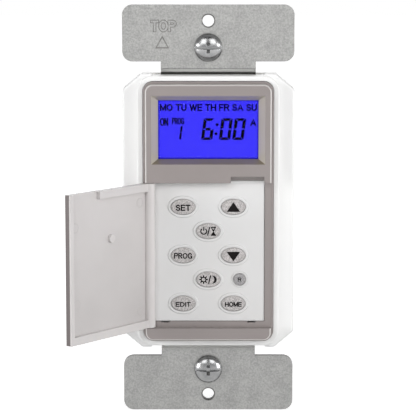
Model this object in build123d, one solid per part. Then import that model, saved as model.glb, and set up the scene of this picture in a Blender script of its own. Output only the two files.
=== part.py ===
from build123d import *
from math import atan, radians, sqrt, tan
import os

# Seven-day timer switch for a wall box, with its keypad door open.
# Millimetres, +Z up, the face looks along -Y and +X is to its right. The origin is midway between
# the two box screws, in the plane of the ears' backs, which is where the wall is.

os.makedirs("parts", exist_ok=True)

# Mounting standard: plate screws, and a box screw next to each
plate_screw_spacing = 96.84
plate_to_box_screw = 6.75
box_screw_spacing = plate_screw_spacing - 2 * plate_to_box_screw

# Cutting tools run past the faces they cut by this much
overrun = 1.0

# Steel strap: two ears, two necks that step back, and a frame inside the housings
housing_width = 43.8
ear_width = housing_width
ear_height = 14.4
ear_end = 4.08
ear_corner = 2.6
neck_width = 24.2
neck_shown = 2.8
strap_thickness = 1.2
strap_step = 1.6
step_start = 1.2
step_run = 1.1
bend_radius = 0.5
plate_hole_radius = 1.5
plate_hole_edge = 0.4
plate_hole_lip_radius = 2.1
plate_hole_lip_depth = 0.8
box_slot_length = 6.6
box_slot_width = 4.0
frame_play = 0.2
frame_side_rail = 6.9
frame_end_rail = 4.4
frame_window_corner = 1.5
frame_notch_play = 0.2

strap_length = plate_screw_spacing + 2 * ear_end
housing_height = strap_length - 2 * (ear_height + neck_shown)
step_top = housing_height / 2 + step_start
step_bottom = step_top - step_run
frame_window_width = housing_width - 2 * frame_side_rail
frame_window_height = housing_height - 2 * frame_end_rail
ear_back = 0.0
ear_front = ear_back - strap_thickness
frame_front = ear_front + strap_step
frame_back = ear_back + strap_step

# White front housing: a shallow tray with chamfered corners and a raised collar
bezel_inset_across = 5.3
bezel_inset_up = 1.95
collar_rim_across = 1.4
collar_rim_up = 1.35
collar_corner = 3.9
collar_rise = 1.0
collar_edge_radius = 0.3
housing_chamfer_across = 4.9
housing_chamfer_up = 4.1
housing_corner_softness = 1.2
housing_front = -4.2
housing_plate = 1.8
housing_wall = 1.5
housing_edge_radius = 0.6
pocket_play = 0.1
pocket_depth = 1.6
neck_notch_play = 2.1
neck_notch_slope = 1.4
neck_slot_play = 0.25

bezel_width = housing_width - 2 * bezel_inset_across
bezel_height = housing_height - 2 * bezel_inset_up
collar_width = bezel_width + 2 * collar_rim_across
collar_height = bezel_height + 2 * collar_rim_up
collar_front = housing_front - collar_rise
pocket_floor = collar_front + pocket_depth
plate_back = housing_front + housing_plate
housing_back = frame_back
neck_notch_width = neck_width + 2 * neck_notch_play

# Bezel: the taupe frame round display and keypad, stepped in towards its front rim
bezel_corner = 2.6
bezel_step = 0.6
bezel_foot_radius = 0.25
bezel_step_front = -6.0
bezel_front = -8.4
bezel_edge_radius = 0.45
bezel_wall = 1.7

# Display: aperture in the bezel with bevelled sides, clear window, glass and backlight
display_middle_share = 0.318
aperture_height_share = 0.2234
aperture_side = 3.9
bevel_across = 1.7
bevel_up = 1.2
bevel_depth = 2.0
display_play = 0.1
window_thickness = 1.0
glass_thickness = 2.2
glass_lap = 1.75
backlight_inset_across = 1.7
backlight_inset_up = 1.55
backlight_thickness = 2.4
backlight_play = 0.15
holder_rim = 1.0
holder_end = 2.7
contact_strip_width = 1.5
contact_strip_gap = 0.7
contact_strip_play = 0.1

display_middle = bezel_height * display_middle_share
aperture_width = bezel_width - 2 * aperture_side
aperture_height = bezel_height * aperture_height_share
glass_height = aperture_height + 2 * glass_lap
backlight_width = aperture_width - 2 * backlight_inset_across
backlight_height = aperture_height - 2 * backlight_inset_up
holder_width = backlight_width + 2 * holder_rim
holder_height = backlight_height + 2 * holder_end
contact_strip_length = backlight_width
contact_strip_offset = backlight_height / 2 + contact_strip_gap + contact_strip_width / 2

# Door opening in the bezel: its lip above, its bar below, and the ledge the door closes on
lip_height = 4.75
bar_height = 3.75
ledge_front = -6.2
scoop_length = 8.5
scoop_rise = 1.6
scoop_through = 0.4
scoop_sag = 0.35
clip_slot_width = 2.1
clip_slot_height = 0.35
clip_slot_inset = 3.25

opening_top = display_middle - aperture_height / 2 - bevel_up - lip_height
opening_bottom = bar_height - bezel_height / 2
opening_height = opening_top - opening_bottom
opening_middle = (opening_top + opening_bottom) / 2

# Keypad panel: sits in the bezel's window and is trapped by its flange
panel_side = 2.35
panel_lap = 1.6
panel_front = -6.0
panel_plate = 1.2
panel_wall = 1.0
panel_play = 0.1
panel_flange = 0.8
panel_flange_thickness = 1.0

panel_width = bezel_width - 2 * panel_side
panel_bottom = opening_bottom + panel_lap
panel_top = opening_top + panel_lap
clip_slot_middle = panel_width / 2 - clip_slot_inset

# Keys: eight ovals on a staggered grid and one small round reset key
key_column_share = 0.2246
key_row_share = 0.1668
key_length_share = 0.945
key_height_share = 0.625
reset_key_share = 1.25
keypad_drop = 0.1
key_front = -6.5
key_edge_radius = 0.2
key_play = 0.15
key_ring_width = 0.55
key_ring_rise = 0.2
key_flange_reach = 0.6
key_flange_thickness = 0.6
key_stem_radius = 1.1
key_travel = 0.4
reset_key_radius = 1.5
reset_key_ring_width = 0.3

key_column = panel_width * key_column_share
key_row = opening_height * key_row_share
key_length = key_column * key_length_share
key_height = key_row * key_height_share
reset_key_x = key_column * reset_key_share
keypad_middle = opening_middle - keypad_drop

# Switches on the control board, one under each key, with a plunger that moves with it
switch_size_share = 0.72
switch_height = 3.5
switch_edge = 0.3
plunger_radius = 0.9
plunger_play = 0.08
plunger_shown = 0.9
plunger_held = 0.9

switch_size = key_row * switch_size_share

# Door: a skin with rims on its inner side, hinged on two pins at its left edge
hinge_inset = 1.75
door_gap = 0.8
door_skin = 1.0
door_depth = 2.0
door_end_play = 0.15
door_edge_radius = 0.45
door_rim_width = 2.0
door_free_rim_width = 1.2
door_cut_length = 10.75
scoop_inset = 1.6
barrel_radius = 1.4
trough_play = 0.3
hinge_pin_radius = 0.7
hinge_pin_length = 1.2
hinge_pin_play = 0.06
hinge_land_front = -5.6
nub_radius = 1.0
nub_gap = 0.15
door_open_angle = 128.0

hinge_x = hinge_inset - bezel_width / 2
hinge_y = bezel_front + barrel_radius
door_right = bezel_width / 2 - door_gap
door_cut_x = door_right - door_cut_length
scoop_right = door_right - scoop_inset
scoop_left = scoop_right - scoop_length

# Rear housing: corner lugs for the screws and a tub with cut corners behind the strap
flange_inset = 0.3
flange_thickness = 2.0
tub_inset_across = 1.4
tub_inset_up = 1.9
tub_corner = 9.0
tub_wall = 1.8
tub_back = 34.0
tub_draft = 0.5
tub_edge_radius = 1.0
lead_holes = 4
lead_hole_radius = 1.7
lead_hole_spacing = 7.0
lead_hole_share = 0.33
lead_collar_radius = 2.7
lead_collar_depth = 1.0

tub_width = housing_width - 2 * tub_inset_across
tub_height = housing_height - 2 * tub_inset_up
lead_hole_z = -tub_height * lead_hole_share
flange_back = frame_back + flange_thickness

# Control board and the posts that carry it
board_thickness = 1.6
board_play = 0.4
control_board_front = 2.0
control_board_inset_across = 5.1
control_board_inset_up = 2.4
post_inset = 4.4
post_drop = 0.9
post_radius = 1.4
stake_radius = 0.7
stake_play = 0.05
stake_length = 0.6

control_board_back = control_board_front + board_thickness
control_board_width = tub_width - 2 * control_board_inset_across
control_board_height = tub_height - 2 * control_board_inset_up
post_x = control_board_width / 2 - post_inset
post_top = (display_middle - glass_height / 2 + panel_top - panel_wall) / 2
post_bottom = panel_bottom - post_drop

# Screws that hold the two housings together, one in each corner
corner_screw_inset_across = 3.3
corner_screw_inset_up = 5.3
corner_screw_radius = 1.15
corner_screw_length = 7.0
corner_screw_head_radius = 2.1
corner_screw_head_height = 1.4
corner_screw_recess = 0.6
cross_length_share = 0.5
cross_width_share = 0.17
corner_boss_radius = 1.9
screw_hole_play = 0.05
screw_pass_play = 0.2

corner_screw_x = housing_width / 2 - corner_screw_inset_across
corner_screw_z = housing_height / 2 - corner_screw_inset_up

# Captive screws that hold the strap to the wall box, and their retainers
box_screw_head_radius = 3.6
box_screw_head_height = 2.1
box_screw_dome = 1.5
box_screw_neck_radius = 1.45
box_screw_thread_radius = 1.75
box_screw_length = 25.4
box_screw_tip = 0.5
driver_slot_width = 0.9
driver_slot_depth = 0.9
driver_cross_length = 3.2
driver_cross_depth = 1.4
retainer_slot_play = 0.05
retainer_screw_play = 0.06
retainer_recess = 0.1

# Pieces on the back of the control board, placed by shares of its height
controller_share = 0.306
crystal_share = 0.145
battery_share = -0.081
link_share = -0.355
controller_size = 10.0
controller_thickness = 1.4
crystal_width = 8.0
crystal_depth = 2.6
crystal_height = 3.2
battery_radius = 8.0
battery_thickness = 3.2
battery_edge = 0.4
link_pins = 5
link_pin_spacing = 2.54
link_width = 2.5
link_socket_height = 8.5
link_base_height = 2.5
link_pin_radius = 0.32
link_pin_play = 0.08
link_pin_engagement = 6.0

controller_z = control_board_height * controller_share
crystal_z = control_board_height * crystal_share
battery_z = control_board_height * battery_share
link_z = control_board_height * link_share
link_length = link_pins * link_pin_spacing

# Power board and its pieces, laid out and sized by shares of the board
power_board_inset_across = 2.5
power_board_inset_up = 3.9
power_board_gap = 2.0
power_post_x_share = 0.333
power_post_z_share = 0.441
relay_width_share = 0.361
relay_length_share = 0.491
relay_x_share = -0.264
relay_z_share = 0.169
relay_height = 16.0
relay_edge = 0.6
film_capacitor_width_share = 0.208
film_capacitor_length_share = 0.305
film_capacitor_x_share = 0.333
film_capacitor_z_share = 0.203
film_capacitor_height = 14.0
reservoir_radius_share = 0.139
reservoir_x_share = 0.105
reservoir_z_share = -0.17
reservoir_height = 14.0
varistor_radius_share = 0.102
varistor_thickness_share = 0.111
varistor_x_share = 0.347
varistor_z_share = -0.119
fuse_length_share = 0.25
fuse_x_share = 0.07
fuse_z_share = 0.373
fuse_radius = 2.2
rectifier_diode_count = 4
diode_length_share = 0.139
diode_pitch_share = 0.061
diode_x_share = -0.305
diode_z_share = -0.187
diode_radius = 1.3
end_cap_share = 0.16

power_board_back = tub_back - tub_wall - power_board_gap
power_board_front = power_board_back - board_thickness
power_board_width = tub_width - 2 * power_board_inset_across
power_board_height = tub_height - 2 * power_board_inset_up
power_post_x = power_board_width * power_post_x_share
power_post_z = power_board_height * power_post_z_share


# Shared shapes
def slab(outline, front, back):
    """Extrude an outline, drawn in X and Z, from its front plane to its back plane."""
    return extrude(Plane.XZ.offset(-back) * outline, amount=back - front)


def rod(x, z, radius, front, back):
    """A round bar along Y."""
    return slab(Pos(x, z) * Circle(radius), front, back)


def block(left, right, bottom, top, front, back):
    """A box by its six sides."""
    outline = Pos((left + right) / 2, (bottom + top) / 2) * Rectangle(right - left, top - bottom)
    return slab(outline, front, back)


def upright(x, y, radius, bottom, top):
    """A round bar along Z."""
    return extrude(Plane.XY.offset(bottom) * Pos(x, y) * Circle(radius), amount=top - bottom)


def cut_corner_outline(width, height, across, up):
    """A rectangle with its four corners cut off straight."""
    half_width = width / 2
    half_height = height / 2
    quarter = [(half_width, half_height - up), (half_width - across, half_height)]
    points = []
    for x, z in quarter:
        points.append((x, z))
    for x, z in reversed(quarter):
        points.append((-x, z))
    for x, z in quarter:
        points.append((-x, -z))
    for x, z in reversed(quarter):
        points.append((x, -z))
    return make_face(Polyline(*points, close=True))


def mirrored_places(x, z):
    """The four places at plus and minus x and z."""
    return [(sx * x, sz * z) for sx in (-1, 1) for sz in (-1, 1)]


def spread(count, pitch):
    """That many places at an even pitch, centred on zero."""
    return [(step - (count - 1) / 2) * pitch for step in range(count)]


def front_edges(solid):
    """The edges of the foremost face."""
    return solid.faces().sort_by(Axis.Y)[0].edges()


def back_edges(solid):
    """The edges of the rearmost face."""
    return solid.faces().sort_by(Axis.Y)[-1].edges()


def housing_outline(inset=0.0):
    """The outline that both housings follow, drawn in by the inset."""
    face = cut_corner_outline(housing_width, housing_height, housing_chamfer_across, housing_chamfer_up)
    face = fillet(face.vertices(), housing_corner_softness)
    if inset > 0:
        face = offset(face, amount=-inset)
    return face


def tub_outline(inset=0.0):
    """The outline of the rear tub, or of what fits inside it."""
    face = cut_corner_outline(tub_width, tub_height, tub_corner, tub_corner)
    if inset > 0:
        face = offset(face, amount=-inset, kind=Kind.INTERSECTION)
    return face


def tub_corner_sum(inset):
    """X plus Z along the cut corner of the tub's outline, drawn in by the inset."""
    return (tub_width + tub_height) / 2 - tub_corner - inset * sqrt(2)


# Mounting strap
def strap_outline():
    ear_middle = strap_length / 2 - ear_height / 2
    ear = RectangleRounded(ear_width, ear_height, ear_corner)
    neck = Rectangle(neck_width, strap_length - ear_height)
    frame = housing_outline(housing_wall + frame_play)
    return neck + Pos(0, ear_middle) * ear + Pos(0, -ear_middle) * ear + frame


def strap_side():
    """The strap seen from its side: one folded band, drawn in Y and Z."""
    fold = atan(strap_step / (step_top - step_bottom))
    lag = strap_thickness / 2 * tan(fold / 2)
    half = strap_length / 2
    front = [
        (ear_front, half),
        (ear_front, step_top - lag),
        (frame_front, step_bottom - lag),
    ]
    back = [
        (frame_back, step_bottom + lag),
        (ear_back, step_top + lag),
        (ear_back, half),
    ]
    below_front = [(y, -z) for y, z in reversed(front)]
    below_back = [(y, -z) for y, z in reversed(back)]
    return make_face(Polyline(*front, *below_front, *below_back, *back, close=True))


def plate_hole_flare(z):
    """The drawn-in edge round a plate-screw hole, as a ring to cut away."""
    wide = plate_hole_radius + plate_hole_edge
    block_out = rod(0, z, wide, ear_front, ear_front + plate_hole_edge)
    ball = Pos(0, ear_front + plate_hole_edge, z) * Rot(90, 0, 0) * Torus(wide, plate_hole_edge)
    return block_out - ball


def make_mounting_strap():
    side = extrude(Plane.YZ.offset(-ear_width / 2) * strap_side(), amount=ear_width)
    folds = side.edges().filter_by(Axis.X)
    folds = folds.filter_by(lambda edge: abs(edge.center().Z) < step_top + strap_thickness)
    strap = fillet(folds, bend_radius)
    strap = strap & slab(strap_outline(), ear_front - overrun, frame_back + overrun)
    window = RectangleRounded(frame_window_width, frame_window_height, frame_window_corner)
    strap -= slab(window, frame_front - overrun, frame_back + overrun)
    notch = corner_boss_radius + frame_notch_play
    for side_x in (-1, 1):
        for side_z in (-1, 1):
            corner = Pos(side_x * housing_width / 2, side_z * housing_height / 2) * Rectangle(
                housing_width - 2 * (corner_screw_x - notch),
                housing_height - 2 * (corner_screw_z - notch),
            )
            strap -= slab(corner, (ear_back + frame_front) / 2, frame_back + overrun)
    for side_z in (-1, 1):
        plate_z = side_z * plate_screw_spacing / 2
        box_z = side_z * box_screw_spacing / 2
        strap += rod(0, plate_z, plate_hole_lip_radius, ear_back, ear_back + plate_hole_lip_depth)
        strap -= rod(0, plate_z, plate_hole_radius, ear_front - overrun, frame_back + overrun)
        strap -= plate_hole_flare(plate_z)
        slot = Pos(0, box_z) * SlotOverall(box_slot_length, box_slot_width)
        strap -= slab(slot, ear_front - overrun, ear_back + overrun)
    return strap


# Front housing
def neck_notch(side_z):
    """The shallow notch in the housing's end, over the strap's neck, with sloped ends."""
    depth = (housing_height - collar_height) / 2
    inner = neck_notch_width / 2
    edge = housing_height / 2
    outer = inner + neck_notch_slope
    return make_face(
        Polyline(
            (-inner, side_z * (edge - depth)),
            (inner, side_z * (edge - depth)),
            (outer, side_z * (edge + overrun)),
            (-outer, side_z * (edge + overrun)),
            close=True,
        )
    )


def lcd_pocket_outline():
    width = bezel_width - 2 * bezel_wall
    return Pos(0, display_middle) * Rectangle(width, glass_height + 2 * display_play)


def panel_outline(growth=0.0):
    height = panel_top - panel_bottom
    middle = (panel_top + panel_bottom) / 2
    return Pos(0, middle) * Rectangle(panel_width + 2 * growth, height + 2 * growth)


def make_front_housing():
    tray = slab(housing_outline(), housing_front, housing_back)
    tray = fillet(front_edges(tray), housing_edge_radius)
    collar = slab(RectangleRounded(collar_width, collar_height, collar_corner), collar_front, plate_back)
    collar = fillet(front_edges(collar), collar_edge_radius)
    tray += collar
    tray -= slab(housing_outline(housing_wall), plate_back, housing_back + overrun)
    pocket = RectangleRounded(
        bezel_width + 2 * pocket_play, bezel_height + 2 * pocket_play, bezel_corner + pocket_play
    )
    tray -= slab(pocket, collar_front - overrun, pocket_floor)
    tray -= slab(lcd_pocket_outline(), pocket_floor - overrun, plate_back + overrun)
    tray -= slab(panel_outline(-panel_wall - panel_play), pocket_floor - overrun, plate_back + overrun)
    for side_z in (-1, 1):
        tray -= slab(neck_notch(side_z), collar_front - overrun, housing_back + overrun)
        edge = side_z * housing_height / 2
        low = min(edge, edge - side_z * 2 * housing_wall)
        high = max(edge, edge - side_z * 2 * housing_wall)
        half = neck_width / 2 + neck_slot_play
        tray -= block(-half, half, low, high, frame_front - neck_slot_play, housing_back + overrun)
    for x, z in mirrored_places(corner_screw_x, corner_screw_z):
        boss = rod(x, z, corner_boss_radius, plate_back, housing_back)
        tray += boss & slab(housing_outline(), plate_back, housing_back)
        tip = flange_back - corner_screw_length
        radius = corner_screw_radius + screw_hole_play
        tray -= rod(x, z, radius, tip - screw_hole_play, housing_back + overrun)
    for z in (post_top, post_bottom):
        for x in (-post_x, post_x):
            tray += rod(x, z, post_radius, plate_back, control_board_front)
            tray += rod(x, z, stake_radius, control_board_front, control_board_back + stake_length)
    return tray


# Rear housing
def make_rear_housing():
    flange = slab(housing_outline(flange_inset), frame_back, flange_back)
    tub = Plane.XZ.offset(-frame_back) * tub_outline()
    tub = extrude(tub, amount=-(tub_back - frame_back), taper=tub_draft)
    tub = fillet(back_edges(tub), tub_edge_radius)
    shell = flange + tub
    hollow = Plane.XZ.offset(-frame_back) * tub_outline(tub_wall)
    shell -= extrude(hollow, amount=-(tub_back - tub_wall - frame_back), taper=tub_draft)
    shell -= slab(tub_outline(tub_wall), frame_back - overrun, frame_back)
    for x, z in mirrored_places(corner_screw_x, corner_screw_z):
        hole = corner_screw_radius + screw_pass_play
        shell -= rod(x, z, hole, frame_back - overrun, flange_back + overrun)
    for x, z in mirrored_places(power_post_x, power_post_z):
        shell += rod(x, z, post_radius, power_board_back, tub_back - tub_wall)
        shell += rod(x, z, stake_radius, power_board_front - stake_length, power_board_back)
    collar_back = tub_back + lead_collar_depth
    for x in spread(lead_holes, lead_hole_spacing):
        shell += rod(x, lead_hole_z, lead_collar_radius, tub_back - tub_wall, collar_back)
        shell -= rod(x, lead_hole_z, lead_hole_radius, power_board_back, collar_back + overrun)
    return shell


# Bezel
def scoop():
    """The finger scoop in the lip above the door, drawn in Y and Z and run along X."""
    front = (bezel_front, opening_top + scoop_rise)
    back = (ledge_front, opening_top + scoop_through)
    middle_y = (front[0] + back[0]) / 2 + scoop_sag
    middle_z = (front[1] + back[1]) / 2 + scoop_sag
    outline = make_face(
        ThreePointArc(front, (middle_y, middle_z), back)
        + Polyline(
            back,
            (ledge_front, opening_top - overrun),
            (bezel_front - overrun, opening_top - overrun),
            (bezel_front - overrun, opening_top + scoop_rise),
            front,
        )
    )
    return extrude(Plane.YZ.offset(scoop_left) * outline, amount=scoop_right - scoop_left)


def make_bezel():
    base = RectangleRounded(bezel_width, bezel_height, bezel_corner)
    rim = RectangleRounded(
        bezel_width - 2 * bezel_step, bezel_height - 2 * bezel_step, bezel_corner - bezel_step
    )
    foot = slab(base, bezel_step_front, pocket_floor)
    bezel = fillet(front_edges(foot), bezel_foot_radius)
    top = slab(rim, bezel_front, bezel_step_front)
    bezel += fillet(front_edges(top), bezel_edge_radius)

    # Display aperture, its bevels and the pocket behind it
    aperture = Pos(0, display_middle) * Rectangle(aperture_width, aperture_height)
    mouth = Pos(0, display_middle) * Rectangle(
        aperture_width + 2 * bevel_across, aperture_height + 2 * bevel_up
    )
    pocket_front = bezel_front + bevel_depth
    bezel -= loft(
        [Plane.XZ.offset(-bezel_front) * mouth, Plane.XZ.offset(-pocket_front) * aperture], ruled=True
    )
    bezel -= slab(lcd_pocket_outline(), pocket_front, pocket_floor + overrun)

    # Door opening across the whole width, down to the ledge
    reach = bezel_width / 2 + overrun
    bezel -= block(-reach, reach, opening_bottom, opening_top, bezel_front - overrun, ledge_front)
    bezel -= scoop()

    # Keypad window, under the lip at its top, with room behind for the panel's flange
    bezel -= slab(panel_outline(panel_play), ledge_front, pocket_floor + overrun)
    flange_front = pocket_floor - panel_flange_thickness - panel_play
    bezel -= slab(panel_outline(panel_flange + panel_play), flange_front, pocket_floor + overrun)
    for side_x in (-1, 1):
        x = side_x * clip_slot_middle
        low = panel_bottom - panel_play - clip_slot_height
        half = clip_slot_width / 2
        bezel -= block(x - half, x + half, low, panel_bottom, ledge_front - overrun, flange_front)

    # Hinge trough along the left side, and the sockets of the hinge pins
    trough = barrel_radius + trough_play
    bezel -= upright(hinge_x, hinge_y, trough, opening_bottom, opening_top)
    bezel -= block(
        -reach, hinge_x, opening_bottom, opening_top, bezel_front - overrun, hinge_land_front
    )
    socket = hinge_pin_radius + hinge_pin_play
    reach_z = hinge_pin_length + hinge_pin_play
    bezel -= upright(hinge_x, hinge_y, socket, opening_bottom - reach_z, opening_bottom)
    bezel -= upright(hinge_x, hinge_y, socket, opening_top, opening_top + reach_z)
    return bezel


# Keypad panel
def key_places():
    """The centre of each oval key by its name, on the staggered grid."""
    grid_shares = {
        "set_key": (-1, 2),
        "up_key": (1, 2),
        "power_key": (0, 1),
        "program_key": (-1, 0),
        "down_key": (1, 0),
        "sun_key": (0, -1),
        "edit_key": (-1, -2),
        "home_key": (1, -2),
    }
    return {
        name: (column * key_column, keypad_middle + row * key_row)
        for name, (column, row) in grid_shares.items()
    }


reset_key_place = (reset_key_x, keypad_middle - key_row)


def key_outline(growth=0.0):
    return Ellipse(key_length / 2 + growth, key_height / 2 + growth)


def make_keypad_panel():
    plate_rear = panel_front + panel_plate
    panel = slab(panel_outline(), panel_front, pocket_floor)
    panel -= slab(panel_outline(-panel_wall), plate_rear, pocket_floor + overrun)
    flange = slab(
        panel_outline(panel_flange), pocket_floor - panel_flange_thickness, pocket_floor
    )
    panel += flange - slab(panel_outline(-panel_wall), plate_rear, pocket_floor + overrun)
    trough = barrel_radius + trough_play
    panel -= upright(hinge_x, hinge_y, trough, panel_bottom - overrun, opening_top)
    for x, z in key_places().values():
        ring = Pos(x, z) * key_outline(key_play + key_ring_width)
        panel += slab(ring, panel_front - key_ring_rise, panel_front)
        hole = Pos(x, z) * key_outline(key_play)
        panel -= slab(hole, panel_front - overrun, plate_rear + overrun)
    x, z = reset_key_place
    hole_radius = reset_key_radius + key_play
    panel += rod(x, z, hole_radius + reset_key_ring_width, panel_front - key_ring_rise, panel_front)
    panel -= rod(x, z, hole_radius, panel_front - overrun, plate_rear + overrun)
    return panel


# Keys and their plungers
plunger_front = control_board_front - switch_height - plunger_shown


def make_key(outline, flange_outline, x, z):
    """A key cap with its retaining flange and the stem that works its switch."""
    plate_rear = panel_front + panel_plate
    flange_rear = plate_rear + key_flange_thickness
    cap = fillet(front_edges(slab(outline, key_front, plate_rear)), key_edge_radius)
    key = cap + slab(flange_outline, plate_rear, flange_rear)
    return Pos(x, 0, z) * (key + rod(0, 0, key_stem_radius, flange_rear, plunger_front))


def make_oval_key(x, z):
    return make_key(key_outline(), key_outline(key_flange_reach), x, z)


def make_reset_key():
    x, z = reset_key_place
    return make_key(Circle(reset_key_radius), Circle(reset_key_radius + key_flange_reach), x, z)


def make_plunger(x, z):
    return rod(x, z, plunger_radius, plunger_front, plunger_front + plunger_shown + plunger_held)


def make_tact_switches(places):
    front = control_board_front - switch_height
    switches = []
    for x, z in places:
        half = switch_size / 2
        body = block(x - half, x + half, z - half, z + half, front, control_board_front)
        body = chamfer(front_edges(body), switch_edge)
        depth = plunger_held + key_travel + plunger_play
        body -= rod(x, z, plunger_radius + plunger_play, front - overrun, front + depth)
        switches.append(body)
    return Compound(children=switches)


# Display pieces
window_front = bezel_front + bevel_depth
glass_front = window_front + window_thickness
glass_rear = glass_front + glass_thickness


def display_plate(front, back):
    width = bezel_width - 2 * bezel_wall - 2 * display_play
    return slab(Pos(0, display_middle) * Rectangle(width, glass_height), front, back)


def strip_places():
    return [display_middle + side * contact_strip_offset for side in (-1, 1)]


def contact_strip(z, growth):
    half_length = contact_strip_length / 2 + growth
    half_width = contact_strip_width / 2 + growth
    front = glass_rear - growth
    back = control_board_front + growth
    return block(-half_length, half_length, z - half_width, z + half_width, front, back)


def make_lcd_holder():
    outline = Pos(0, display_middle) * Rectangle(holder_width, holder_height)
    holder = slab(outline, glass_rear, control_board_front)
    seat = Pos(0, display_middle) * Rectangle(
        backlight_width + 2 * backlight_play, backlight_height + 2 * backlight_play
    )
    holder -= slab(seat, glass_rear - overrun, glass_rear + backlight_thickness)
    for z in strip_places():
        holder -= contact_strip(z, contact_strip_play)
    return holder


def make_lcd_backlight():
    outline = Pos(0, display_middle) * Rectangle(backlight_width, backlight_height)
    return slab(outline, glass_rear, glass_rear + backlight_thickness)


# Door
door_top = opening_top - door_end_play
door_bottom = opening_bottom + door_end_play


def make_closed_door():
    """The door as it lies when shut."""
    skin_rear = bezel_front + door_skin
    rim_rear = bezel_front + door_depth
    door = block(hinge_x, door_right, door_bottom, door_top, bezel_front, skin_rear)
    right_edge = door.edges().filter_by(Axis.Z).sort_by(Axis.X)[-2:].sort_by(Axis.Y)[0]
    door = fillet(right_edge, door_edge_radius)
    door += upright(hinge_x, hinge_y, barrel_radius, door_bottom, door_top)
    door += block(hinge_x, door_cut_x, door_top - door_rim_width, door_top, skin_rear, rim_rear)
    door += block(hinge_x, door_right, door_bottom, door_bottom + door_rim_width, skin_rear, rim_rear)
    door += block(
        door_right - door_free_rim_width, door_right, door_bottom, door_top, skin_rear, rim_rear
    )
    door += upright(hinge_x, hinge_y, hinge_pin_radius, door_bottom - hinge_pin_length, door_top)
    door += upright(hinge_x, hinge_y, hinge_pin_radius, door_top, door_top + hinge_pin_length)
    nub_x, nub_z = key_places()["power_key"]
    door += rod(nub_x, nub_z, nub_radius, skin_rear, key_front - nub_gap)
    return door


def make_door():
    """The door as it stands open in the photograph."""
    hinge = Axis((hinge_x, hinge_y, 0), (0, 0, 1))
    return make_closed_door().rotate(hinge, -door_open_angle)


# Control board and the pieces on its back
def make_control_board():
    across = (control_board_width + control_board_height) / 2
    corner = across - tub_corner_sum(tub_wall + board_play)
    outline = cut_corner_outline(control_board_width, control_board_height, corner, corner)
    board = slab(outline, control_board_front, control_board_back)
    for z in (post_top, post_bottom):
        for x in (-post_x, post_x):
            board -= rod(
                x, z, stake_radius + stake_play, control_board_front - overrun, control_board_back + overrun
            )
    return board


def make_microcontroller():
    half = controller_size / 2
    middle = controller_z
    return block(
        -half,
        half,
        middle - half,
        middle + half,
        control_board_back,
        control_board_back + controller_thickness,
    )


def make_clock_crystal():
    outline = Pos(0, crystal_z) * SlotOverall(crystal_width, crystal_height)
    return slab(outline, control_board_back, control_board_back + crystal_depth)


def make_backup_battery():
    cell = rod(0, battery_z, battery_radius, control_board_back, control_board_back + battery_thickness)
    return fillet(back_edges(cell), battery_edge)


def make_link_socket():
    front = control_board_back
    back = front + link_socket_height
    half = link_length / 2
    wide = link_width / 2
    socket = block(-half, half, link_z - wide, link_z + wide, front, back)
    for x in spread(link_pins, link_pin_spacing):
        depth = link_pin_engagement + link_pin_play
        socket -= rod(x, link_z, link_pin_radius + link_pin_play, back - depth, back + overrun)
    return socket


def make_link_header():
    half = link_length / 2
    wide = link_width / 2
    base_front = power_board_front - link_base_height
    header = block(-half, half, link_z - wide, link_z + wide, base_front, power_board_front)
    tip = control_board_back + link_socket_height - link_pin_engagement
    for x in spread(link_pins, link_pin_spacing):
        header += rod(x, link_z, link_pin_radius, tip, base_front)
    return header


# Power board and the pieces on its front
def make_power_board():
    depth = power_board_back - frame_back
    drawn_in = depth * tan(radians(tub_draft))
    across = (power_board_width + power_board_height) / 2
    corner = across - tub_corner_sum(tub_wall + board_play + drawn_in)
    outline = cut_corner_outline(power_board_width, power_board_height, corner, corner)
    board = slab(outline, power_board_front, power_board_back)
    for x, z in mirrored_places(power_post_x, power_post_z):
        radius = stake_radius + stake_play
        board -= rod(x, z, radius, power_board_front - overrun, power_board_back + overrun)
    return board


def on_power_board(width, length, height, x, z):
    """A block standing on the power board's front."""
    left = x - width / 2
    bottom = z - length / 2
    return block(left, left + width, bottom, bottom + length, power_board_front - height, power_board_front)


def make_relay():
    width = power_board_width * relay_width_share
    length = power_board_height * relay_length_share
    x = power_board_width * relay_x_share
    z = power_board_height * relay_z_share
    return chamfer(front_edges(on_power_board(width, length, relay_height, x, z)), relay_edge)


def make_film_capacitor():
    width = power_board_width * film_capacitor_width_share
    length = power_board_height * film_capacitor_length_share
    x = power_board_width * film_capacitor_x_share
    z = power_board_height * film_capacitor_z_share
    return fillet(front_edges(on_power_board(width, length, film_capacitor_height, x, z)), relay_edge)


def make_reservoir_capacitor():
    radius = power_board_width * reservoir_radius_share
    x = power_board_width * reservoir_x_share
    z = power_board_height * reservoir_z_share
    can = rod(x, z, radius, power_board_front - reservoir_height, power_board_front)
    return fillet(front_edges(can), battery_edge)


def make_surge_varistor():
    """A disc standing on edge, on a short foot."""
    radius = power_board_height * varistor_radius_share
    thickness = power_board_width * varistor_thickness_share
    x = power_board_width * varistor_x_share
    z = power_board_height * varistor_z_share
    circle = Plane.YZ.offset(x - thickness / 2) * Pos(power_board_front - radius, z) * Circle(radius)
    return extrude(circle, amount=thickness) + on_power_board(thickness, radius, radius, x, z)


def lying_tube(radius, length, x, z):
    """A tube lying across the board, resting on its own two square end caps."""
    circle = Plane.YZ.offset(x - length / 2) * Pos(power_board_front - radius, z) * Circle(radius)
    tube = extrude(circle, amount=length)
    cap = length * end_cap_share
    for end in (-1, 1):
        middle = x + end * (length - cap) / 2
        tube += on_power_board(cap, 2 * radius, 2 * radius, middle, z)
    return tube


def make_fuse():
    length = power_board_width * fuse_length_share
    x = power_board_width * fuse_x_share
    return lying_tube(fuse_radius, length, x, power_board_height * fuse_z_share)


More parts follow.
